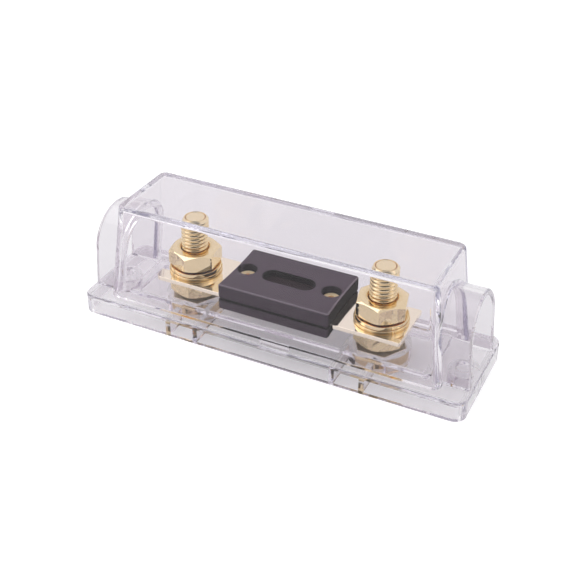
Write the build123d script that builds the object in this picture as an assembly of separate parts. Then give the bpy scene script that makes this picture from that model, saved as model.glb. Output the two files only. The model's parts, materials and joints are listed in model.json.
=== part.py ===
from build123d import *
from math import cos, radians, tan
import os

# Holder for one bolt-down strip fuse: a clear moulded base with a cable tunnel at each end, a clear
# cover that lifts straight off, two plated studs with their nuts and washers, and the fuse itself.
# Millimetres. X runs along the holder, Y across it and Z up. The origin is the middle of the underside.
# Lengths and widths are worked outwards, from the studs and the fuse strip to the cover and the base.

# Plated hexagon bolts used as studs
stud_spacing = 61.0
thread_diameter = 8.0
bolt_length = 25.0
bolt_tip_chamfer = 0.8
hex_across_flats = 14.0
bolt_head_height = 5.0
hex_chamfer_angle = 30.0
hex_face_share = 0.915

# Nuts and washers
nut_height = 5.7
nut_bore_clearance = 0.05
nut_mouth_chamfer = 0.5
seat_nut_turns = (42.0, 35.0)
clamp_nut_turns = (36.5, 43.5)
flat_washer_diameter = 16.2
flat_washer_thickness = 1.0
spring_washer_diameter = 15.6
spring_washer_thickness = 1.2
spring_washer_gap = 0.9
spring_washer_cut_angle = 25.0
washer_bore_clearance = 0.25

# Fuse strip, forked at its left end and with an oblong hole at its right end
strip_reach_past_stud = 9.0
strip_width = 18.4
strip_thickness = 1.3
fork_slot_clearance = 0.7
strip_slot_clearance = 0.3
strip_slot_stretch = 1.6
fork_corner_radius = 2.0
plain_corner_radius = 0.6
link_width = 3.2
link_length = 9.0

# Fuse body, two halves with slightly hollow ends, nearer to the right-hand stud, held apart by the strip
body_to_left_stud = 13.85
body_to_right_stud = 11.75
body_side_wall = 2.1
body_end_dip = 0.4
body_corner_radius = 0.7
body_top_height = 4.6
body_bottom_height = 3.9
body_parting_gap = 0.5
body_edge_chamfer = 0.4
strip_channel_clearance = 0.1

# Hollow rivets that hold the fuse together
rivet_end_inset = 4.05
rivet_recess_diameter = 6.0
rivet_recess_depth = 2.6
rivet_lower_recess_depth = 1.1
rivet_shank_diameter = 3.2
rivet_bore_diameter = 1.8
rivet_head_diameter = 5.2
rivet_head_thickness = 0.6
rivet_head_round = 0.25
rivet_clearance = 0.05

# Inspection window in the upper half, and the hollow round the link under it
window_to_rivet = 5.2
window_width = 6.4
window_depth = 2.2
pane_lip = 0.8
pane_thickness = 0.8
pane_clearance = 0.1
link_pocket_depth = 1.2

# Cover, a box open below with its own draft on the ends and on the sides
cover_end_room = 13.8
cover_side_gap = 2.0
cover_tip_gap = 4.6
cover_wall = 1.9
cover_top_wall = 2.0
cover_end_draft = 6.74
cover_side_draft = 3.93
cover_corner_radius = 2.6
cover_edge_radius = 1.2
cover_inner_edge_radius = 0.6
cut_out_clearance = 0.3

# Spring tongue on each long side of the cover, and its slot in the deck
tongue_width = 9.0
tongue_thickness = 1.2
tongue_reach = 3.4
tongue_offset = 3.3
tongue_root = 1.0
tongue_tip_chamfer = 0.4
slot_clearance = 0.3

# Base plate, open underneath
base_end_margin = 8.3
base_side_margin = 2.8
base_height = 6.2
base_corner_radius = 3.6
base_edge_radius = 0.7
base_wall = 2.0
deck_thickness = 2.0

# Raised floor that carries the studs, between the two tunnels
floor_reach_past_strip = 9.5
floor_side_margin = 1.2
floor_rise = 1.4
floor_corner_radius = 1.5

# Round bosses with a hexagonal pocket for each bolt head, and the cross ribs under the deck
boss_wall = 0.9
boss_foot_gap = 0.5
seat_web = 1.7
pocket_clearance = 0.2
stud_hole_clearance = 0.2
rib_thickness = 1.6
inner_rib_inset = 8.2
outer_rib_offset = 1.0

# Cable tunnels, arches open at both ends, whose outer end face leans inwards by its mould draft
tunnel_width = 22.3
tunnel_wall = 1.9
tunnel_roof_gap = 4.55
tunnel_draft_angle = 4.4
tunnel_rim_chamfer = 0.45
tunnel_reach_inside = 0.8

# Screw holes in the tunnel floors
mount_hole_inset = 5.6
mount_hole_diameter = 4.8
mount_boss_wall = 2.1

# Heights that follow from the stack
floor_top = base_height + floor_rise
pocket_top = floor_top - seat_web
strip_bottom = floor_top + nut_height
strip_top = strip_bottom + strip_thickness
flat_washer_top = strip_top + flat_washer_thickness
clamp_nut_bottom = flat_washer_top + spring_washer_thickness
stud_tip = pocket_top + bolt_length
cover_ceiling = stud_tip + cover_tip_gap
cover_top = cover_ceiling + cover_top_wall
spring_line = cover_ceiling - tunnel_roof_gap - tunnel_width / 2
body_bottom = strip_top - body_bottom_height
body_top = strip_top + body_top_height

# Lengths and widths that follow outwards from the studs and the strip
strip_length = stud_spacing + 2 * strip_reach_past_stud
fork_slot_width = thread_diameter + 2 * fork_slot_clearance
strip_slot_width = thread_diameter + 2 * strip_slot_clearance
body_length = stud_spacing - body_to_left_stud - body_to_right_stud
body_middle = (body_to_left_stud - body_to_right_stud) / 2
body_width = strip_width + 2 * body_side_wall
rivet_spacing = body_length - 2 * rivet_end_inset
window_length = rivet_spacing - 2 * window_to_rivet
cover_length = strip_length + 2 * cover_end_room
cover_width = body_width + 2 * (cover_side_gap + cover_wall)
base_length = cover_length + 2 * base_end_margin
base_width = cover_width + 2 * base_side_margin
floor_length = strip_length + 2 * floor_reach_past_strip
floor_width = strip_width + 2 * floor_side_margin
boss_diameter = (hex_across_flats + 2 * pocket_clearance) / cos(radians(30)) + 2 * boss_wall
mount_boss_diameter = mount_hole_diameter + 2 * mount_boss_wall

# Places of what there are two of
stud_places = {"left": -stud_spacing / 2, "right": stud_spacing / 2}
rivet_places = {"left": body_middle - rivet_spacing / 2, "right": body_middle + rivet_spacing / 2}
mount_places = (mount_hole_inset - base_length / 2, base_length / 2 - mount_hole_inset)
overcut = 1.0


def block(length, width, radius, low, high):
    """Upright block with rounded corners between two heights."""
    return Pos(0, 0, low) * extrude(RectangleRounded(length, width, radius), high - low)


def turned(points):
    """Solid of revolution about Z from (radius, height) points."""
    return revolve(Plane.XZ * Polygon(*points, align=None), Axis.Z)


def arch(half_width, foot):
    """Upright arch in the Y-Z plane: straight legs up to the spring line, then a half circle."""
    outline = [
        Line((half_width, foot), (half_width, spring_line)),
        ThreePointArc((half_width, spring_line), (0, spring_line + half_width), (-half_width, spring_line)),
        Line((-half_width, spring_line), (-half_width, foot)),
        Line((-half_width, foot), (half_width, foot)),
    ]
    return Plane.YZ * make_face(outline)


def cable_tunnel():
    """Right-hand tunnel: an arched wall trimmed by its leaning ends."""
    foot = base_height - deck_thickness / 2
    crown = spring_line + tunnel_width / 2 + overcut
    outer_foot = base_length / 2 - base_edge_radius
    inner_foot = cover_length / 2 - cover_wall - tunnel_reach_inside
    outer_lean = tan(radians(tunnel_draft_angle))
    inner_lean = tan(radians(cover_end_draft))
    side = Polygon(
        (inner_foot, foot),
        (outer_foot, foot),
        (outer_foot, base_height),
        (outer_foot - outer_lean * (crown - base_height), crown),
        (inner_foot - inner_lean * (crown - base_height), crown),
        (inner_foot, base_height),
        align=None,
    )
    trim = extrude(Plane.XZ * side, base_width, both=True)
    outside = extrude(arch(tunnel_width / 2, foot), base_length)
    inside = extrude(arch(tunnel_width / 2 - tunnel_wall, foot - overcut), base_length)
    wall = (outside - inside) & trim
    end_faces = wall.faces().filter_by(GeomType.PLANE).filter_by(lambda face: face.normal_at().X > 0.5)
    rim = end_faces.sort_by(SortBy.AREA)[-1].edges()
    rim = rim.filter_by(lambda edge: edge.center().Z > base_height + tunnel_rim_chamfer)
    return chamfer(rim, tunnel_rim_chamfer)


def underside_plan(length, width, radius):
    """Plan of one level of the hollow under the deck: what the bosses and cross ribs leave open."""
    plan = RectangleRounded(length, width, radius)
    for x in stud_places.values():
        toward_middle = -1 if x > 0 else 1
        plan -= Pos(x, 0) * Circle(boss_diameter / 2)
        plan -= Pos(x + toward_middle * inner_rib_inset, 0) * Rectangle(rib_thickness, base_width)
        plan -= Pos(x - toward_middle * outer_rib_offset, 0) * Rectangle(rib_thickness, base_width)
    for x in mount_places:
        plan -= Pos(x, 0) * Circle(mount_boss_diameter / 2)
    return plan


def make_base():
    body = block(base_length, base_width, base_corner_radius, 0, base_height)
    body = fillet(body.faces().sort_by(Axis.Z)[-1].edges(), base_edge_radius)
    body += block(floor_length, floor_width, floor_corner_radius, base_height - deck_thickness / 2, floor_top)

    inner_radius = base_corner_radius - base_wall
    shallow = underside_plan(base_length - 2 * base_wall, base_width - 2 * base_wall, inner_radius)
    deep = underside_plan(floor_length - 2 * base_wall, floor_width - 2 * base_wall, floor_corner_radius)
    body -= Pos(0, 0, -overcut) * extrude(shallow, base_height - deck_thickness + overcut)
    body -= Pos(0, 0, -overcut) * extrude(deep, floor_top - deck_thickness + overcut)

    tunnel = cable_tunnel()
    body += [tunnel, mirror(tunnel, Plane.YZ)]

    pocket = RegularPolygon(hex_across_flats / 2 + pocket_clearance, 6, major_radius=False)
    stud_hole = Circle(thread_diameter / 2 + stud_hole_clearance)
    for x in stud_places.values():
        body -= Pos(x, 0, -overcut) * extrude(Circle(boss_diameter / 2), overcut + boss_foot_gap)
        body -= Pos(x, 0, -overcut) * extrude(pocket, pocket_top + overcut)
        body -= Pos(x, 0, 0) * extrude(stud_hole, floor_top + overcut)
    for x in mount_places:
        body -= Pos(x, 0, -overcut) * extrude(Circle(mount_hole_diameter / 2), base_height + 2 * overcut)
    for x, y in tongue_places():
        slot = Rectangle(tongue_width + 2 * slot_clearance, tongue_thickness + 2 * slot_clearance)
        body -= Pos(x, y, 0) * extrude(slot, base_height + overcut)
    return body


def tongue_places():
    """Middle of each tongue in plan; the two are a half turn apart, so the cover fits either way round."""
    y = cover_width / 2 - cover_wall / 2
    return ((tongue_offset, -y), (-tongue_offset, y))


def drafted_box(length, width, corner_radius, edge_radius, ceiling):
    """Block on the deck that narrows upwards at the cover's drafts, rounded at its corners and top edges."""
    height = ceiling - base_height
    box = (Pos(0, 0, base_height) * extrude(Rectangle(length, width), height)).solid()
    deck = Plane.XY.offset(base_height)
    for axis, angle in ((Axis.X, cover_end_draft), (Axis.Y, cover_side_draft)):
        walls = box.faces().sort_by(axis)
        box = box.draft([walls[0], walls[-1]], deck, angle)
    middle = base_height + height / 2
    corners = box.edges().filter_by(lambda edge: abs(edge.center().Z - middle) < height / 4)
    box = fillet(corners, corner_radius)
    return fillet(box.faces().sort_by(Axis.Z)[-1].edges(), edge_radius)


def make_cover():
    body = drafted_box(cover_length, cover_width, cover_corner_radius, cover_edge_radius, cover_top)
    body -= drafted_box(cover_length - 2 * cover_wall, cover_width - 2 * cover_wall,
                        cover_corner_radius - cover_wall, cover_inner_edge_radius, cover_ceiling)
    opening = arch(tunnel_width / 2 + cut_out_clearance, base_height - overcut)
    body -= extrude(opening, cover_length, both=True)
    for x, y in tongue_places():
        tongue = extrude(Rectangle(tongue_width, tongue_thickness), tongue_reach + tongue_root)
        tip = tongue.faces().sort_by(Axis.Z)[0].edges()
        body += Pos(x, y, base_height - tongue_reach) * chamfer(tip, tongue_tip_chamfer)
    return body


def hexagon_blank(height, chamfer_low, chamfer_high):
    """Hexagon bar of the stud hardware with turned chamfers on the ends that have them."""
    corner = hex_across_flats / 2 / cos(radians(30)) + overcut
    face = hex_face_share * hex_across_flats / 2
    drop = (corner - face) * tan(radians(hex_chamfer_angle))
    points = [(0, 0)]
    points += [(face, 0), (corner, drop)] if chamfer_low else [(corner, 0)]
    points += [(corner, height - drop), (face, height)] if chamfer_high else [(corner, height)]
    points += [(0, height)]
    bar = extrude(RegularPolygon(hex_across_flats / 2, 6, major_radius=False), height)
    return bar & turned(points)


def make_stud_bolt(x):
    head = Pos(0, 0, pocket_top - bolt_head_height) * hexagon_blank(bolt_head_height, True, False)
    radius = thread_diameter / 2
    shank = turned([(0, pocket_top), (radius, pocket_top), (radius, stud_tip - bolt_tip_chamfer),
                    (radius - bolt_tip_chamfer, stud_tip), (0, stud_tip)])
    return Pos(x, 0, 0) * (head + shank)


def make_nut(x, bottom, turn):
    bore = thread_diameter / 2 + nut_bore_clearance
    mouth = bore + nut_mouth_chamfer
    hole = turned([(0, -overcut), (mouth + overcut, -overcut), (bore, nut_mouth_chamfer),
                   (bore, nut_height - nut_mouth_chamfer), (mouth + overcut, nut_height + overcut),
                   (0, nut_height + overcut)])
    return Pos(x, 0, bottom) * Rot(0, 0, turn) * (hexagon_blank(nut_height, True, True) - hole)


def washer(diameter, thickness):
    bore = thread_diameter / 2 + washer_bore_clearance
    return extrude(Circle(diameter / 2) - Circle(bore), thickness)


def make_flat_washer(x):
    return Pos(x, 0, strip_top) * washer(flat_washer_diameter, flat_washer_thickness)


def make_spring_washer(x):
    ring = washer(spring_washer_diameter, spring_washer_thickness)
    cut = Rot(spring_washer_cut_angle, 0, 0) * Box(
        spring_washer_diameter, spring_washer_gap, 4 * spring_washer_thickness)
    cut = Pos(spring_washer_diameter / 2, 0, spring_washer_thickness / 2) * cut
    return Pos(x, 0, flat_washer_top) * (ring - cut)


def make_strip():
    plan = Rectangle(strip_length, strip_width)
    plan = fillet(plan.vertices().group_by(Axis.X)[0], fork_corner_radius)
    plan = fillet(plan.vertices().group_by(Axis.X)[-1], plain_corner_radius)
    mouth_length = strip_reach_past_stud + overcut
    plan -= Pos(stud_places["left"] - mouth_length / 2, 0) * Rectangle(mouth_length, fork_slot_width)
    plan -= Pos(stud_places["left"], 0) * Circle(fork_slot_width / 2)
    plan -= Pos(stud_places["right"], 0) * SlotCenterToCenter(strip_slot_stretch, strip_slot_width)
    side_cut = (strip_width - link_width) / 2
    for side in (-1, 1):
        plan -= Pos(body_middle, side * (link_width + side_cut) / 2) * Rectangle(link_length, side_cut)
    for x in rivet_places.values():
        plan -= Pos(x, 0) * Circle(rivet_shank_diameter / 2 + rivet_clearance)
    return Pos(0, 0, strip_bottom) * extrude(plan, strip_thickness)


def body_block(low, high):
    """Block of the fuse body: straight sides, shallow hollow ends and rounded corners."""
    x = body_length / 2
    y = body_width / 2
    outline = [
        Line((-x, -y), (x, -y)),
        ThreePointArc((x, -y), (x - body_end_dip, 0), (x, y)),
        Line((x, y), (-x, y)),
        ThreePointArc((-x, y), (-x + body_end_dip, 0), (-x, -y)),
    ]
    plan = fillet(make_face(outline).vertices(), body_corner_radius)
    return Pos(body_middle, 0, low) * extrude(plan, high - low)


def rivet_cuts(recess_low, recess_high):
    """Clearance hole through the whole body and a recess for one rivet head, at both rivets."""
    hole = extrude(Circle(rivet_shank_diameter / 2 + rivet_clearance), body_top - body_bottom + 2 * overcut)
    recess = extrude(Circle(rivet_recess_diameter / 2), recess_high - recess_low)
    cuts = []
    for x in rivet_places.values():
        cuts.append(Pos(x, 0, body_bottom - overcut) * hole)
        cuts.append(Pos(x, 0, recess_low) * recess)
    return cuts


def make_body_top():
    half = body_block(strip_top, body_top)
    half = chamfer(half.faces().sort_by(Axis.Z)[-1].edges(), body_edge_chamfer)
    half -= rivet_cuts(body_top - rivet_recess_depth, body_top + overcut)
    sight = SlotOverall(window_length, window_width)
    half -= Pos(body_middle, 0, strip_top) * extrude(sight, body_top_height + overcut)
    nest = SlotOverall(window_length + 2 * pane_lip, window_width + 2 * pane_lip)
    half -= Pos(body_middle, 0, strip_top - overcut) * extrude(nest, body_top_height - window_depth + overcut)
    return half


def make_body_bottom():
    half = body_block(body_bottom, strip_top - body_parting_gap)
    half = chamfer(half.faces().sort_by(Axis.Z)[0].edges(), body_edge_chamfer)
    channel = Rectangle(body_length + 2 * overcut, strip_width + 2 * strip_channel_clearance)
    half -= Pos(body_middle, 0, strip_bottom) * extrude(channel, strip_thickness + overcut)
    half -= rivet_cuts(body_bottom - overcut, body_bottom + rivet_lower_recess_depth)
    nest = SlotOverall(window_length + 2 * pane_lip, window_width + 2 * pane_lip)
    half -= Pos(body_middle, 0, strip_bottom - link_pocket_depth) * extrude(nest, link_pocket_depth + overcut)
    return half


def make_window_pane():
    top = body_top - window_depth
    length = window_length + 2 * (pane_lip - pane_clearance)
    width = window_width + 2 * (pane_lip - pane_clearance)
    return Pos(body_middle, 0, top - pane_thickness) * extrude(SlotOverall(length, width), pane_thickness)


def make_rivet(x):
    shank = rivet_shank_diameter / 2
    bore = rivet_bore_diameter / 2
    head = rivet_head_diameter / 2
    upper = body_top - rivet_recess_depth
    lower = body_bottom + rivet_lower_recess_depth
    top = upper + rivet_head_thickness
    foot = lower - rivet_head_thickness
    shoulder = head - rivet_head_round
    return Pos(x, 0, 0) * turned([
        (bore, foot), (shoulder, foot), (head, foot + rivet_head_round), (head, lower), (shank, lower),
        (shank, upper), (head, upper), (head, top - rivet_head_round), (shoulder, top), (bore, top)])


parts = {
    "base": make_base(),
    "cover": make_cover(),
    "fuse_element": make_strip(),
    "fuse_body_top": make_body_top(),
    "fuse_body_bottom": make_body_bottom(),
    "fuse_window_pane": make_window_pane(),
}
for side, x in rivet_places.items():
    parts["fuse_rivet_" + side] = make_rivet(x)
for index, (side, x) in enumerate(stud_places.items()):
    parts["stud_bolt_" + side] = make_stud_bolt(x)
    parts["seat_nut_" + side] = make_nut(x, floor_top, seat_nut_turns[index])
    parts["flat_washer_" + side] = make_flat_washer(x)
    parts["spring_washer_" + side] = make_spring_washer(x)
    parts["clamp_nut_" + side] = make_nut(x, clamp_nut_bottom, clamp_nut_turns[index])

os.makedirs("parts", exist_ok=True)
for name, solid in parts.items():
    export_step(solid, "parts/" + name + ".step")
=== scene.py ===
import bpy
import bmesh
import json
from math import cos, pi, radians, sin
from mathutils import Matrix, Vector


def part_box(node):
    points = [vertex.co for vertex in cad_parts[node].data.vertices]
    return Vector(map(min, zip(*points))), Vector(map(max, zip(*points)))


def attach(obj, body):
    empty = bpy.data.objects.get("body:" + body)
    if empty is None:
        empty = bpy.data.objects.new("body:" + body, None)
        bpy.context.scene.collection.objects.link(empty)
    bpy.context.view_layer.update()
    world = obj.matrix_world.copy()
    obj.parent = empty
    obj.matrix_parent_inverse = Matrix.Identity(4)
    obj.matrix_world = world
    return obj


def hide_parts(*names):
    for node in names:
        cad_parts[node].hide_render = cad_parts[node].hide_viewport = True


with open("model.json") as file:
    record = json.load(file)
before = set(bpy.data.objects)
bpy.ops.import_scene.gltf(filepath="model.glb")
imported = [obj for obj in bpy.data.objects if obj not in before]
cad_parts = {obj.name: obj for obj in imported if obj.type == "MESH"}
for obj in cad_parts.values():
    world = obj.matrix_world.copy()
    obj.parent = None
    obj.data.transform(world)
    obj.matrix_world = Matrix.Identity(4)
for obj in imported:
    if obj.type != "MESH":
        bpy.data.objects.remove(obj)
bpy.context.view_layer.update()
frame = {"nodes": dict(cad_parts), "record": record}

# Base: one clear moulding with a raised floor, a cable tunnel at each end, and hexagonal pockets and ribs
# below the deck. Injection moulded in clear plastic, so its walls are polished, with a little ripple from
# the mould and a cold violet cast where the light runs along them.
mm = 0.001
clear_ior = 1.53
clear_tint = (0.852, 0.826, 0.854, 1.0)
clear_cast = (0.70, 0.69, 0.80, 1.0)
clear_cast_density = 11.0
clear_mirror_share = 0.4
mould_ripple_scale = 55.0
base_ripple_height = 0.012 * mm
lamp_share_through_wall = 0.91
moulded_haze_scale = 60.0
moulded_haze = 0.008
moulded_edge_radius = 0.12 * mm
weld_distance = 0.0005 * mm
same_plane_angle = 0.4
smooth_angle = 32.0


def new_material(name):
    """A material that has only its output node, with its tree and that node."""
    material = bpy.data.materials.new(name)
    material.use_nodes = True
    tree = material.node_tree
    tree.nodes.clear()
    output = tree.nodes.new("ShaderNodeOutputMaterial")
    return material, tree, output


def node(tree, kind, **settings):
    """A node of a tree: capitalised settings are its sockets, the others its own properties."""
    made = tree.nodes.new(kind)
    for key, value in settings.items():
        if key[0].isupper():
            made.inputs[key.replace("_", " ")].default_value = value
        else:
            setattr(made, key, value)
    return made


def effect_group(name, inputs, outputs):
    """An empty shader group with float inputs that have the given defaults, and typed outputs."""
    group = bpy.data.node_groups.new(name, "ShaderNodeTree")
    vector = group.interface.new_socket("Vector", in_out="INPUT", socket_type="NodeSocketVector")
    vector.hide_value = True
    for label, default in inputs.items():
        socket = group.interface.new_socket(label, in_out="INPUT", socket_type="NodeSocketFloat")
        socket.default_value = default
    for label, kind in outputs.items():
        group.interface.new_socket(label, in_out="OUTPUT", socket_type=kind)
    return group, node(group, "NodeGroupInput"), node(group, "NodeGroupOutput")


def place_group(tree, group, **values):
    """A copy of an effect group in a material, on the piece's own coordinates."""
    made = node(tree, "ShaderNodeGroup", node_tree=group)
    for key, value in values.items():
        made.inputs[key.replace("_", " ")].default_value = value
    coordinates = node(tree, "ShaderNodeTexCoord")
    tree.links.new(coordinates.outputs["Object"], made.inputs["Vector"])
    return made


# Skin of a moulding or a metal: a slow swell and a fine grain as a height, and patches for the roughness
mould_skin, skin_in, skin_out = effect_group(
    "mould_skin",
    {"Swell Scale": 55.0, "Grain Scale": 900.0, "Grain Share": 0.1, "Smooth": 0.02, "Dull": 0.06},
    {"Height": "NodeSocketFloat", "Roughness": "NodeSocketFloat"})
swell = node(mould_skin, "ShaderNodeTexNoise", Detail=2.0, Roughness=0.4)
grain = node(mould_skin, "ShaderNodeTexNoise", Detail=3.0, Roughness=0.6)
heights = node(mould_skin, "ShaderNodeMix", data_type="FLOAT")
patches = node(mould_skin, "ShaderNodeMapRange")
link = mould_skin.links.new
link(skin_in.outputs["Vector"], swell.inputs["Vector"])
link(skin_in.outputs["Vector"], grain.inputs["Vector"])
link(skin_in.outputs["Swell Scale"], swell.inputs["Scale"])
link(skin_in.outputs["Grain Scale"], grain.inputs["Scale"])
link(skin_in.outputs["Grain Share"], heights.inputs["Factor"])
link(swell.outputs["Fac"], heights.inputs["A"])
link(grain.outputs["Fac"], heights.inputs["B"])
link(heights.outputs["Result"], skin_out.inputs["Height"])
link(grain.outputs["Fac"], patches.inputs["Value"])
link(skin_in.outputs["Smooth"], patches.inputs["To Min"])
link(skin_in.outputs["Dull"], patches.inputs["To Max"])
link(patches.outputs["Result"], skin_out.inputs["Roughness"])


def clear_moulding(name, tint, ripple_height):
    """Clear plastic: glass-like with a faint mould ripple, a cast along its walls, and a clear shadow."""
    material, tree, output = new_material(name)
    skin = place_group(tree, mould_skin, Swell_Scale=mould_ripple_scale, Grain_Scale=moulded_haze_scale,
                       Grain_Share=0.0, Smooth=0.0, Dull=moulded_haze)
    ripple = node(tree, "ShaderNodeBump", Strength=1.0, Distance=ripple_height)
    moulding = node(tree, "ShaderNodeBsdfPrincipled", Base_Color=tint, IOR=clear_ior, Transmission_Weight=1.0,
                    Specular_Tint=(clear_mirror_share,) * 3 + (1.0,))
    lamp_pass = node(tree, "ShaderNodeBsdfTransparent", Color=(lamp_share_through_wall,) * 3 + (1.0,))
    by_ray = node(tree, "ShaderNodeMixShader")
    rays = node(tree, "ShaderNodeLightPath")
    cast = node(tree, "ShaderNodeVolumeAbsorption", Color=clear_cast, Density=clear_cast_density)
    tree.links.new(skin.outputs["Height"], ripple.inputs["Height"])
    tree.links.new(skin.outputs["Roughness"], moulding.inputs["Roughness"])
    tree.links.new(ripple.outputs["Normal"], moulding.inputs["Normal"])
    tree.links.new(rays.outputs["Is Shadow Ray"], by_ray.inputs["Fac"])
    tree.links.new(moulding.outputs["BSDF"], by_ray.inputs[1])
    tree.links.new(lamp_pass.outputs["BSDF"], by_ray.inputs[2])
    tree.links.new(by_ray.outputs["Shader"], output.inputs["Surface"])
    tree.links.new(cast.outputs["Volume"], output.inputs["Volume"])
    return material


def dressed(node_name, piece_name, material, body, edge_radius, shade_angle=smooth_angle,
            keep_below=None):
    """A smooth-shaded copy of a CAD node with broken edges, which stands for it on its body."""
    shell = bmesh.new()
    shell.from_mesh(frame["nodes"][node_name].data)
    bmesh.ops.remove_doubles(shell, verts=shell.verts, dist=weld_distance)
    bmesh.ops.dissolve_limit(shell, angle_limit=radians(same_plane_angle), verts=shell.verts,
                             edges=shell.edges)
    pierced = [face for face in shell.faces if len(set(face.verts)) < len(face.verts)]
    bmesh.ops.triangulate(shell, faces=pierced)
    if keep_below is not None:
        whole = shell.verts[:] + shell.edges[:] + shell.faces[:]
        cut = bmesh.ops.bisect_plane(shell, geom=whole, plane_co=(0, 0, keep_below), plane_no=(0, 0, 1),
                                     clear_outer=True)
        rim = [piece for piece in cut["geom_cut"] if isinstance(piece, bmesh.types.BMEdge)]
        bmesh.ops.contextual_create(shell, geom=rim)
    mesh = bpy.data.meshes.new(piece_name)
    shell.to_mesh(mesh)
    shell.free()
    piece = bpy.data.objects.new(piece_name, mesh)
    bpy.context.scene.collection.objects.link(piece)
    mesh.materials.append(material)
    mesh.shade_smooth()
    mesh.set_sharp_from_angle(angle=radians(shade_angle))
    if edge_radius:
        bevel = piece.modifiers.new("broken_edges", "BEVEL")
        bevel.width = edge_radius
        bevel.segments = 2
        bevel.limit_method = "ANGLE"
        bevel.angle_limit = radians(shade_angle)
        bevel.harden_normals = True
        bevel.use_clamp_overlap = True
        bevel.miter_outer = "MITER_ARC"
    weighted = piece.modifiers.new("flat_faces", "WEIGHTED_NORMAL")
    weighted.weight = 100
    weighted.keep_sharp = True
    set_plain_mesh(piece)
    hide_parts(node_name)
    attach(piece, body)
    return piece


def set_plain_mesh(piece):
    """Turns what a piece's modifiers make into its own mesh, and removes the modifiers."""
    evaluated = piece.evaluated_get(bpy.context.evaluated_depsgraph_get())
    made = bpy.data.meshes.new_from_object(evaluated)
    piece.modifiers.clear()
    piece.data = made


clear_base = clear_moulding("clear_base", clear_tint, base_ripple_height)
dressed("base", "base_moulding", clear_base, "holder", moulded_edge_radius)

# Studs: two plated M8 hexagon bolts, pushed up through the floor with their heads in the pockets below.
# The rolled thread runs the whole shank, and the plating has softened its crests and filled its roots.
# The tip has a chamfer and a ring groove, and the plating carries painted shade, darker and deeper in colour
# in its corners and crevices.
stud_radius = 4.0 * mm
bolt_head_height = 5.0 * mm
bolt_head_edge_radius = 0.15 * mm
contact_film = 0.04 * mm
thread_pitch = 1.25 * mm
thread_depth = 0.40 * mm
thread_steps_per_turn = 10
thread_sides = 56
thread_smooth_angle = 40.0
tip_chamfer = 0.6 * mm
tip_rings = 16
tip_groove_depth = 0.35 * mm
plating_color = (0.95, 0.81, 0.55, 1.0)
plating_dark_color = (0.88, 0.71, 0.42, 1.0)
# Painted shade: the plating's colour in its corners and crevices, where the occlusion finds them closed in
plating_painted_shade_color = (0.66, 0.43, 0.13, 1.0)
painted_shade_reach = 2.5 * mm
closed_corner = 0.40
open_face = 0.95
plating_scratch_height = 0.004 * mm
plating_grain = {"Swell_Scale": 160.0, "Grain_Scale": 2600.0, "Grain_Share": 0.45}
polish = {"Smooth": 0.02, "Dull": 0.10}
# Painted light: a lighter gold for the top face of the bolt head, which lies in shade under the seat nut
head_top_painted_light_color = (1.0, 0.93, 0.78, 1.0)
tumbled = {"Smooth": 0.60, "Dull": 0.75}

# Along half a pitch, 0 at the middle of the crest and 1 at the middle of the root: the flank's two ends
flank_start = 0.12
flank_end = 0.92

# As shares of the stud's radius: the middle of the tip's ring groove, and half the groove's width
tip_groove_middle = 0.875
tip_groove_half_width = 0.0625

# A face whose normal has more than this along an axis lies square to that axis
square_on = 0.9


def metal(name, first_color, second_color, scratch_height, painted_shade_color=None, **skin_values):
    """A metal whose colour and gloss wander over its skin, with painted shade in its corners when a shade
    colour is given.
    """
    material, tree, output = new_material(name)
    skin = place_group(tree, mould_skin, **skin_values)
    scratches = node(tree, "ShaderNodeBump", Strength=0.5, Distance=scratch_height)
    shades = node(tree, "ShaderNodeMix", data_type="RGBA")
    shades.inputs["A"].default_value = first_color
    shades.inputs["B"].default_value = second_color
    surface = node(tree, "ShaderNodeBsdfPrincipled", Metallic=1.0)
    color = shades.outputs["Result"]
    if painted_shade_color:
        # Painted shade: the colour turns to the shade colour where the surroundings close in on a point
        corners = node(tree, "ShaderNodeAmbientOcclusion", samples=8, Distance=painted_shade_reach)
        openness = node(tree, "ShaderNodeMapRange")
        openness.inputs["From Min"].default_value = closed_corner
        openness.inputs["From Max"].default_value = open_face
        painted_shade_mix = node(tree, "ShaderNodeMix", data_type="RGBA")
        painted_shade_mix.inputs["A"].default_value = painted_shade_color
        tree.links.new(corners.outputs["AO"], openness.inputs["Value"])
        tree.links.new(openness.outputs["Result"], painted_shade_mix.inputs["Factor"])
        tree.links.new(color, painted_shade_mix.inputs["B"])
        color = painted_shade_mix.outputs["Result"]
    tree.links.new(skin.outputs["Height"], shades.inputs["Factor"])
    tree.links.new(color, surface.inputs["Base Color"])
    tree.links.new(skin.outputs["Height"], scratches.inputs["Height"])
    tree.links.new(skin.outputs["Roughness"], surface.inputs["Roughness"])
    tree.links.new(scratches.outputs["Normal"], surface.inputs["Normal"])
    tree.links.new(surface.outputs["BSDF"], output.inputs["Surface"])
    return material


gold_plate = metal("gold_plate", plating_color, plating_dark_color, plating_scratch_height,
                   painted_shade_color=plating_painted_shade_color, **plating_grain, **polish)
seat_gold = metal("seat_gold", plating_color, plating_dark_color, plating_scratch_height,
                  **plating_grain, **polish)
head_top_painted_light = metal("head_top_painted_light", head_top_painted_light_color, head_top_painted_light_color, plating_scratch_height,
                     **plating_grain, **tumbled)


def math(tree, operation, first, second=None, third=None):
    """A Math node fed by sockets or numbers."""
    made = tree.nodes.new("ShaderNodeMath")
    made.operation = operation
    for slot_index, value in enumerate((first, second, third)):
        if value is None:
            continue
        if isinstance(value, bpy.types.NodeSocket):
            tree.links.new(value, made.inputs[slot_index])
        else:
            made.inputs[slot_index].default_value = value
    return made.outputs["Value"]


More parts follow.
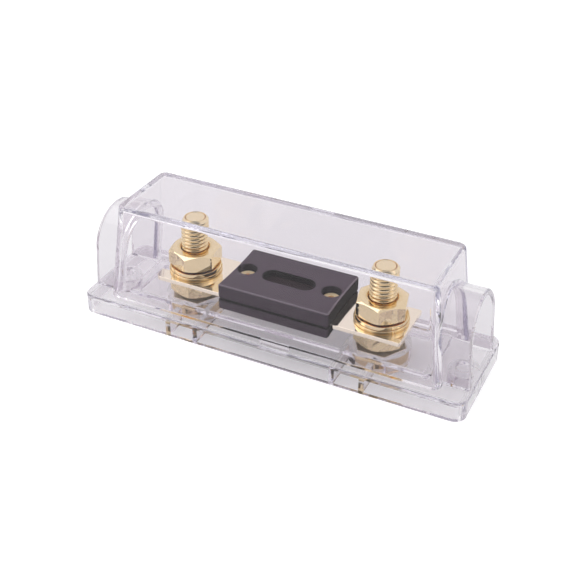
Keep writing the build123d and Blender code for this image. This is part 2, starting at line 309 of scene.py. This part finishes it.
def geometry_group(name, inputs):
    """An empty Geometry Nodes tree with named inputs, and a Geometry output."""
    tree = bpy.data.node_groups.new(name, "GeometryNodeTree")
    tree.interface.new_socket("Geometry", in_out="INPUT", socket_type="NodeSocketGeometry")
    for label, (kind, default) in inputs.items():
        socket = tree.interface.new_socket(label, in_out="INPUT", socket_type=kind)
        if default is not None:
            socket.default_value = default
    tree.interface.new_socket("Geometry", in_out="OUTPUT", socket_type="NodeSocketGeometry")
    return tree, node(tree, "NodeGroupInput"), node(tree, "NodeGroupOutput")


def set_inputs(modifier, values):
    """Sets a Geometry Nodes modifier's inputs by their names."""
    for item in modifier.node_group.interface.items_tree:
        if item.item_type == "SOCKET" and item.in_out == "INPUT" and item.name in values:
            modifier[item.identifier] = values[item.name]


# A threaded rod that stands on its foot: a fine cylinder whose radius follows the angle and the height
rod_tree, rod_in, rod_out = geometry_group("threaded_rod", {
    "Radius": ("NodeSocketFloat", stud_radius),
    "Length": ("NodeSocketFloat", 25 * mm),
    "Pitch": ("NodeSocketFloat", thread_pitch),
    "Depth": ("NodeSocketFloat", thread_depth),
    "Chamfer": ("NodeSocketFloat", tip_chamfer),
    "Tip Groove": ("NodeSocketFloat", tip_groove_depth),
    "Tip Rings": ("NodeSocketInt", tip_rings),
    "Sides": ("NodeSocketInt", thread_sides),
    "Rings": ("NodeSocketInt", 200),
    "Material": ("NodeSocketMaterial", None),
})
rod = node(rod_tree, "GeometryNodeMeshCylinder")
lift = node(rod_tree, "GeometryNodeTransform")
half = math(rod_tree, "MULTIPLY", rod_in.outputs["Length"], 0.5)
raise_by = node(rod_tree, "ShaderNodeCombineXYZ")
place = node(rod_tree, "GeometryNodeInputPosition")
split = node(rod_tree, "ShaderNodeSeparateXYZ")
join = node(rod_tree, "ShaderNodeCombineXYZ")
shape = node(rod_tree, "GeometryNodeSetPosition")
paint = node(rod_tree, "GeometryNodeSetMaterial")
realize = node(rod_tree, "GeometryNodeRealizeInstances")
link = rod_tree.links.new
link(rod_in.outputs["Sides"], rod.inputs["Vertices"])
link(rod_in.outputs["Rings"], rod.inputs["Side Segments"])
link(rod_in.outputs["Tip Rings"], rod.inputs["Fill Segments"])
link(rod_in.outputs["Radius"], rod.inputs["Radius"])
link(rod_in.outputs["Length"], rod.inputs["Depth"])
link(half, raise_by.inputs["Z"])
link(rod.outputs["Mesh"], lift.inputs["Geometry"])
link(raise_by.outputs["Vector"], lift.inputs["Translation"])
link(place.outputs["Position"], split.inputs["Vector"])
x, y, z = (split.outputs[axis] for axis in "XYZ")
turn = math(rod_tree, "DIVIDE", math(rod_tree, "ARCTAN2", y, x), 2 * pi)
turns_up = math(rod_tree, "DIVIDE", z, rod_in.outputs["Pitch"])
phase = math(rod_tree, "FRACT", math(rod_tree, "SUBTRACT", turns_up, turn))
flank = math(rod_tree, "ABSOLUTE", math(rod_tree, "MULTIPLY_ADD", phase, 2.0, -1.0))
soft_flank = node(rod_tree, "ShaderNodeMapRange", interpolation_type="SMOOTHSTEP")
soft_flank.inputs["From Min"].default_value = flank_start
soft_flank.inputs["From Max"].default_value = flank_end
link(flank, soft_flank.inputs["Value"])
groove = math(rod_tree, "MULTIPLY", soft_flank.outputs["Result"], rod_in.outputs["Depth"])
from_tip = math(rod_tree, "SUBTRACT", rod_in.outputs["Length"], z)
tip_cut = math(rod_tree, "MAXIMUM", math(rod_tree, "SUBTRACT", rod_in.outputs["Chamfer"], from_tip), 0.0)
cut_back = math(rod_tree, "MAXIMUM", groove, tip_cut)
radius_here = math(rod_tree, "SUBTRACT", rod_in.outputs["Radius"], cut_back)
share = math(rod_tree, "DIVIDE", radius_here, rod_in.outputs["Radius"])
link(math(rod_tree, "MULTIPLY", x, share), join.inputs["X"])
link(math(rod_tree, "MULTIPLY", y, share), join.inputs["Y"])
out_squared = math(rod_tree, "ADD", math(rod_tree, "MULTIPLY", x, x), math(rod_tree, "MULTIPLY", y, y))
out_share = math(rod_tree, "DIVIDE", math(rod_tree, "SQRT", out_squared), rod_in.outputs["Radius"])
from_groove = math(rod_tree, "ABSOLUTE", math(rod_tree, "SUBTRACT", out_share, tip_groove_middle))
groove_side = math(rod_tree, "MULTIPLY_ADD", from_groove, -1 / tip_groove_half_width, 1.0)
groove_share = math(rod_tree, "MAXIMUM", groove_side, 0.0)
groove_cut = math(rod_tree, "MULTIPLY", groove_share, rod_in.outputs["Tip Groove"])
link(math(rod_tree, "SUBTRACT", z, groove_cut), join.inputs["Z"])
link(lift.outputs["Geometry"], shape.inputs["Geometry"])
link(join.outputs["Vector"], shape.inputs["Position"])
link(shape.outputs["Geometry"], realize.inputs["Geometry"])
link(realize.outputs["Geometry"], paint.inputs["Geometry"])
link(rod_in.outputs["Material"], paint.inputs["Material"])
link(paint.outputs["Geometry"], rod_out.inputs["Geometry"])


def threaded_rod(name, x, foot, length, radius):
    """One threaded shank at its place, as a plain mesh."""
    shank = bpy.data.objects.new(name, bpy.data.meshes.new(name))
    bpy.context.scene.collection.objects.link(shank)
    thread = shank.modifiers.new("thread", "NODES")
    thread.node_group = rod_tree
    set_inputs(thread, {
        "Radius": radius, "Length": length, "Pitch": thread_pitch, "Depth": thread_depth,
        "Chamfer": tip_chamfer, "Tip Groove": tip_groove_depth, "Tip Rings": tip_rings, "Sides": thread_sides,
        "Rings": round(length / thread_pitch * thread_steps_per_turn), "Material": gold_plate})
    set_plain_mesh(shank)
    shank.data.transform(Matrix.Translation((x, 0, foot)))
    shank.data.shade_smooth()
    shank.data.set_sharp_from_angle(angle=radians(thread_smooth_angle))
    return shank


def joined(pieces, name):
    first = pieces[0]
    with bpy.context.temp_override(active_object=first, selected_editable_objects=pieces):
        bpy.ops.object.join()
    first.name = name
    first.data.name = name
    return first


def part_from_clear(piece, height, film):
    """Moves a face at a height off the clear plastic that it touches, to leave a film of air."""
    for vertex in piece.data.vertices:
        if abs(vertex.co.z - height) < abs(film) / 2:
            vertex.co.z += film


sides = {"left": -1, "right": 1}
stud_mount = next(mount for mount in frame["record"]["mounts"] if mount["name"] == "terminal_stud_right")
stud_distance = stud_mount["pos_m"][0]
head_top_index = 1
for side, sign in sides.items():
    low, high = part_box("stud_bolt_" + side)
    head_top = low.z + bolt_head_height
    head = dressed("stud_bolt_" + side, "stud_" + side, seat_gold, "holder",
                   bolt_head_edge_radius, keep_below=head_top)
    part_from_clear(head, head_top, -contact_film)
    # The head's top face is rougher and painted lighter, as painted light where the seat nut shades it
    head.data.materials.append(head_top_painted_light)
    for face in head.data.polygons:
        if face.normal.z > square_on:
            face.material_index = head_top_index
    shank = threaded_rod("shank", sign * stud_distance, head_top, high.z - head_top, stud_radius)
    joined([head, shank], "stud_" + side)

# Nuts: M8, plated, both faces chamfered. The seat nuts clamp the studs to the floor and carry the strip,
# and the clamp nuts on top are taken up to fit a cable's ring terminal.
nut_edge_radius = 0.16 * mm
for side in sides:
    seat_nut = dressed("seat_nut_" + side, "nut_below_" + side, seat_gold, "holder",
                       nut_edge_radius)
    part_from_clear(seat_nut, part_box("seat_nut_" + side)[0].z, contact_film)
    dressed("clamp_nut_" + side, "nut_above_" + side, gold_plate, "clamp_nut_" + side,
            nut_edge_radius)

# Washers: a stamped flat washer on the strip and a split spring washer under each clamp nut, both plated
# with the nuts. Their edges are rounded by the stamping and by the tumbling before the plating, and the
# spring washers lie with their splits turned away from the camera.
flat_washer_edge_radius = 0.2 * mm
spring_washer_edge_radius = 0.25 * mm
split_turn = radians(110)
for side, sign in sides.items():
    dressed("flat_washer_" + side, "washer_flat_" + side, gold_plate, "holder",
            flat_washer_edge_radius)
    ring = dressed("spring_washer_" + side, "washer_spring_" + side, gold_plate, "holder",
                   spring_washer_edge_radius)
    to_stud = Matrix.Translation((sign * stud_distance, 0, 0))
    ring.data.transform(to_stud @ Matrix.Rotation(split_turn, 4, "Z") @ to_stud.inverted())

# Fuse strip: stamped sheet, plated all over, with an open fork at the left stud and a hole at the right.
# The plating is duller than the nuts', with the sheet's rolling grain under it.
strip_color = (1.0, 0.93, 0.79, 1.0)
strip_dark_color = (0.97, 0.87, 0.70, 1.0)
strip_grain_height = 0.003 * mm
strip_edge_radius = 0.12 * mm
strip_plate = metal("strip_plate", strip_color, strip_dark_color, strip_grain_height,
                    Swell_Scale=60.0, Grain_Scale=1500.0, Grain_Share=0.6, Smooth=0.04, Dull=0.12)
dressed("fuse_element", "strip", strip_plate, "holder", strip_edge_radius)

# Fuse body: two black moulded halves round the strip, riveted together. The satin skin has a fine spark
# texture. The sloping edge chamfers of the upper half are painted lighter, as a painted highlight. The ends,
# the recesses and the faces where the halves meet are matt and painted darker, as painted shade.
body_color = (0.042, 0.020, 0.040, 1.0)
body_light_color = (0.054, 0.028, 0.052, 1.0)
body_ior = 1.5
body_smooth_angle = 50.0
spark_height = 0.002 * mm
# Painted highlight: the colour of the upper half's sloping edge chamfers
edge_painted_highlight_color = (0.36, 0.30, 0.35, 1.0)
highlight_index = 1
slope_start = 0.4
# Painted shade: a near-black colour for the ends, the recesses and the faces where the halves meet
inside_painted_shade_color = (0.010, 0.005, 0.009, 1.0)
inside_painted_shade_second_color = (0.018, 0.009, 0.015, 1.0)
shaded_inset = 1.5 * mm
shade_index = 2
parting_relief = 0.25 * mm


def black_plastic(name, first_color, second_color, smooth, dull):
    """The body's moulding, in the two colours that its skin wanders between."""
    material, tree, output = new_material(name)
    skin = place_group(tree, mould_skin, Swell_Scale=70.0, Grain_Scale=3800.0, Grain_Share=0.8,
                       Smooth=smooth, Dull=dull)
    spark = node(tree, "ShaderNodeBump", Strength=0.5, Distance=spark_height)
    shades = node(tree, "ShaderNodeMix", data_type="RGBA")
    shades.inputs["A"].default_value = first_color
    shades.inputs["B"].default_value = second_color
    moulding = node(tree, "ShaderNodeBsdfPrincipled", IOR=body_ior)
    tree.links.new(skin.outputs["Height"], shades.inputs["Factor"])
    tree.links.new(shades.outputs["Result"], moulding.inputs["Base Color"])
    tree.links.new(skin.outputs["Height"], spark.inputs["Height"])
    tree.links.new(skin.outputs["Roughness"], moulding.inputs["Roughness"])
    tree.links.new(spark.outputs["Normal"], moulding.inputs["Normal"])
    tree.links.new(moulding.outputs["BSDF"], output.inputs["Surface"])
    return material


black_moulding = black_plastic("black_moulding", body_color, body_light_color, 0.30, 0.42)
# The edge chamfers' material carries a painted highlight
edge_painted_highlight = black_plastic("edge_painted_highlight", body_light_color, edge_painted_highlight_color, 0.24, 0.34)
# The matt inside material carries painted shade
matt_painted_shade = black_plastic("matt_painted_shade", inside_painted_shade_color, inside_painted_shade_second_color, 0.80, 0.95)
for half_name in ("top", "bottom"):
    half = dressed("fuse_body_" + half_name, "body_half_" + half_name, black_moulding, "holder",
                   0.0, shade_angle=body_smooth_angle)
    half.data.materials.append(edge_painted_highlight)
    half.data.materials.append(matt_painted_shade)
    low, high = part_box("fuse_body_" + half_name)
    for vertex in half.data.vertices:
        if half_name == "top" and vertex.co.z < low.z + parting_relief:
            vertex.co.z += parting_relief
        if half_name == "bottom" and vertex.co.z > high.z - parting_relief:
            vertex.co.z -= parting_relief
    for face in half.data.polygons:
        center = face.center
        inset = min(center.x - low.x, high.x - center.x, center.y - low.y, high.y - center.y)
        faces_up = face.normal.z > square_on
        on_top = half_name == "top" and faces_up and center.z > high.z - parting_relief
        meets_other_half = half_name == "bottom" and faces_up
        at_an_end = abs(face.normal.x) > square_on
        # Painted shade on the ends, the recesses and the meeting faces
        if meets_other_half or at_an_end or (inset > shaded_inset and not on_top):
            face.material_index = shade_index
        # Painted highlight on the upper half's sloping chamfers
        elif half_name == "top" and slope_start < face.normal.z < square_on:
            face.material_index = highlight_index

# Inspection window: a small pane in the upper half, over the link, held from below. It is moulded in
# smoked clear plastic, dark enough that the link hardly shows, and it mirrors little of the room.
pane_color = (0.10, 0.06, 0.075, 1.0)
pane_ior = 1.49
pane_transmission = 0.7
pane_mirror_share = 0.35
pane_ripple_height = 0.01 * mm
pane_edge_radius = 0.08 * mm
smoked_pane, tree, output = new_material("smoked_pane")
skin = place_group(tree, mould_skin, Swell_Scale=120.0, Grain_Share=0.1, Smooth=0.04, Dull=0.12)
ripple = node(tree, "ShaderNodeBump", Strength=1.0, Distance=pane_ripple_height)
pane = node(tree, "ShaderNodeBsdfPrincipled", Base_Color=pane_color, IOR=pane_ior,
            Transmission_Weight=pane_transmission, Specular_Tint=(pane_mirror_share,) * 3 + (1.0,))
tree.links.new(skin.outputs["Height"], ripple.inputs["Height"])
tree.links.new(skin.outputs["Roughness"], pane.inputs["Roughness"])
tree.links.new(ripple.outputs["Normal"], pane.inputs["Normal"])
tree.links.new(pane.outputs["BSDF"], output.inputs["Surface"])
dressed("fuse_window_pane", "window_pane", smoked_pane, "holder", pane_edge_radius)

# Rivets: two hollow brass rivets, rolled over in recesses of the body. They are tumbled and unplated, so
# their skin is duller than the plating, and it catches what light falls down the recess.
rivet_color = (1.0, 0.88, 0.62, 1.0)
rivet_dark_color = (1.0, 0.84, 0.54, 1.0)
rivet_scratch_height = 0.004 * mm
rivet_edge_radius = 0.08 * mm
rivet_brass = metal("rivet_brass", rivet_color, rivet_dark_color, rivet_scratch_height,
                    Swell_Scale=900.0, Grain_Scale=3000.0, Grain_Share=0.5, **tumbled)
for side in sides:
    dressed("fuse_rivet_" + side, "rivet_" + side, rivet_brass, "holder", rivet_edge_radius)

# Cover: a clear drafted box that drops over the fuse and the tunnels' inner ends, with an arched cut-out
# in each end and a spring tongue on each side. It is moulded in the same clear plastic as the base, with
# less ripple. The rim only rests on the deck here and there, so a thin film of air is left under it.
cover_tint = (0.905, 0.880, 0.905, 1.0)
cover_ripple_height = 0.002 * mm
stud_above_deck = 20.3 * mm
clear_cover = clear_moulding("clear_cover", cover_tint, cover_ripple_height)
cover = dressed("cover", "cover_moulding", clear_cover, "cover", moulded_edge_radius)
deck_height = stud_mount["pos_m"][2] - stud_above_deck
part_from_clear(cover, deck_height, contact_film)

# Floor: a white table under the holder, which takes its shadow. It glows a little where the camera looks
# straight at it, and less where it is seen in the metal and through the clear plastic, so that it reads
# as white there without more light on the holder.
floor_white = (0.76, 0.76, 0.76, 1.0)
floor_size = 4.0
floor_glow_direct = 0.60
floor_glow_in_clear = 0.38
floor_height = -0.02 * mm
floor_mesh = bpy.data.meshes.new("floor")
half_floor = floor_size / 2
floor_mesh.from_pydata([(-half_floor, -half_floor, floor_height), (half_floor, -half_floor, floor_height),
                        (half_floor, half_floor, floor_height), (-half_floor, half_floor, floor_height)],
                       [], [(0, 1, 2, 3)])
floor = bpy.data.objects.new("floor", floor_mesh)
bpy.context.scene.collection.objects.link(floor)
white_floor, tree, output = new_material("white_floor")
matt = node(tree, "ShaderNodeBsdfDiffuse", Color=floor_white)
glow = node(tree, "ShaderNodeEmission", Color=(1.0, 1.0, 1.0, 1.0))
rays = node(tree, "ShaderNodeLightPath")
in_clear = math(tree, "MAXIMUM", rays.outputs["Is Glossy Ray"], rays.outputs["Is Transmission Ray"])
in_clear = math(tree, "MULTIPLY", in_clear, floor_glow_in_clear)
both = node(tree, "ShaderNodeAddShader")
seen = math(tree, "MULTIPLY_ADD", rays.outputs["Is Camera Ray"], floor_glow_direct, in_clear)
tree.links.new(seen, glow.inputs["Strength"])
tree.links.new(matt.outputs["BSDF"], both.inputs[0])
tree.links.new(glow.outputs["Emission"], both.inputs[1])
tree.links.new(both.outputs["Shader"], output.inputs["Surface"])
floor_mesh.materials.append(white_floor)

# Lamps: two soft boxes, a wide one above and a little to the left, and a weak one at the right. Both are
# turned to the middle of the holder.
lamps = {
    "key_box": {"from": (-0.45, -0.05, 0.80), "size": (0.9, 0.9), "power": 3.2},
    "side_box": {"from": (0.85, 0.10, 0.40), "size": (0.3, 0.6), "power": 0.25},
}
lamp_target = Vector((0, 0, 0.02))
for name, lamp in lamps.items():
    data = bpy.data.lights.new(name, "AREA")
    data.shape = "RECTANGLE"
    data.size, data.size_y = lamp["size"]
    data.energy = lamp["power"]
    box = bpy.data.objects.new(name, data)
    bpy.context.scene.collection.objects.link(box)
    box.location = lamp["from"]
    box.rotation_euler = (lamp_target - box.location).to_track_quat("-Z", "Y").to_euler()

# Room: pale walls that light the holder evenly and are seen as white. Above the camera hangs a dark
# stand, which shows only as a darker patch in the metal and the clear walls.
room_color = (0.80, 0.80, 0.82, 1.0)
room_strength = 0.62
stand_direction = (0.265, -0.556, 0.788)
stand_shades = ((0.80, 1.0), (0.93, 0.14))
world = bpy.data.worlds.new("studio")
bpy.context.scene.world = world
world.use_nodes = True
tree = world.node_tree
tree.nodes.clear()
output = node(tree, "ShaderNodeOutputWorld")
room_light = node(tree, "ShaderNodeBackground", Color=room_color, Strength=room_strength)
room_seen = node(tree, "ShaderNodeBackground", Strength=1.0)
direction = node(tree, "ShaderNodeTexCoord")
toward_stand = node(tree, "ShaderNodeVectorMath", operation="DOT_PRODUCT")
toward_stand.inputs[1].default_value = stand_direction
walls = node(tree, "ShaderNodeValToRGB")
for stop, (nearness, shade) in zip(walls.color_ramp.elements, stand_shades):
    stop.position = nearness
    stop.color = (shade, shade, shade, 1.0)
rays = node(tree, "ShaderNodeLightPath")
seen = math(tree, "MAXIMUM", rays.outputs["Is Camera Ray"], rays.outputs["Is Transmission Ray"])
seen = math(tree, "MAXIMUM", seen, rays.outputs["Is Glossy Ray"])
by_ray = node(tree, "ShaderNodeMixShader")
tree.links.new(direction.outputs["Generated"], toward_stand.inputs[0])
tree.links.new(toward_stand.outputs["Value"], walls.inputs["Fac"])
tree.links.new(walls.outputs["Color"], room_seen.inputs["Color"])
tree.links.new(seen, by_ray.inputs["Fac"])
tree.links.new(room_light.outputs["Background"], by_ray.inputs[1])
tree.links.new(room_seen.outputs["Background"], by_ray.inputs[2])
tree.links.new(by_ray.outputs["Shader"], output.inputs["Surface"])

# Camera: set by the photograph, from the front and above with the right end nearer. Its axis passes a
# little beside and above the origin, and it is rolled by about half a degree.
camera_azimuth = radians(25.55)
camera_elevation = radians(33.14)
camera_roll = radians(0.61)
camera_distance = 317.7 * mm
camera_aside = 1.08 * mm
camera_above = 12.54 * mm
camera_lens = 64.78
nearest_seen = 10.0 * mm
camera_data = bpy.data.cameras.new("camera")
camera_data.sensor_width = 36.0
camera_data.lens = camera_lens
camera_data.clip_start = nearest_seen
camera = bpy.data.objects.new("camera", camera_data)
bpy.context.scene.collection.objects.link(camera)
back = Vector((sin(camera_azimuth) * cos(camera_elevation), -cos(camera_azimuth) * cos(camera_elevation),
               sin(camera_elevation)))
level_right = Vector((cos(camera_azimuth), sin(camera_azimuth), 0))
level_up = back.cross(level_right)
right = level_right * cos(camera_roll) + level_up * sin(camera_roll)
up = level_up * cos(camera_roll) - level_right * sin(camera_roll)
place = back * camera_distance + right * camera_aside + up * camera_above
camera.matrix_world = Matrix((
    (right.x, up.x, back.x, place.x),
    (right.y, up.y, back.y, place.y),
    (right.z, up.z, back.z, place.z),
    (0, 0, 0, 1)))
bpy.context.scene.camera = camera

# Light crosses up to a dozen clear walls on its way, and runs along inside them
cycles = bpy.context.scene.cycles
cycles.max_bounces = 96
cycles.transmission_bounces = 64
cycles.glossy_bounces = 64
cycles.transparent_max_bounces = 48
bpy.context.scene.view_settings.view_transform = "Standard"
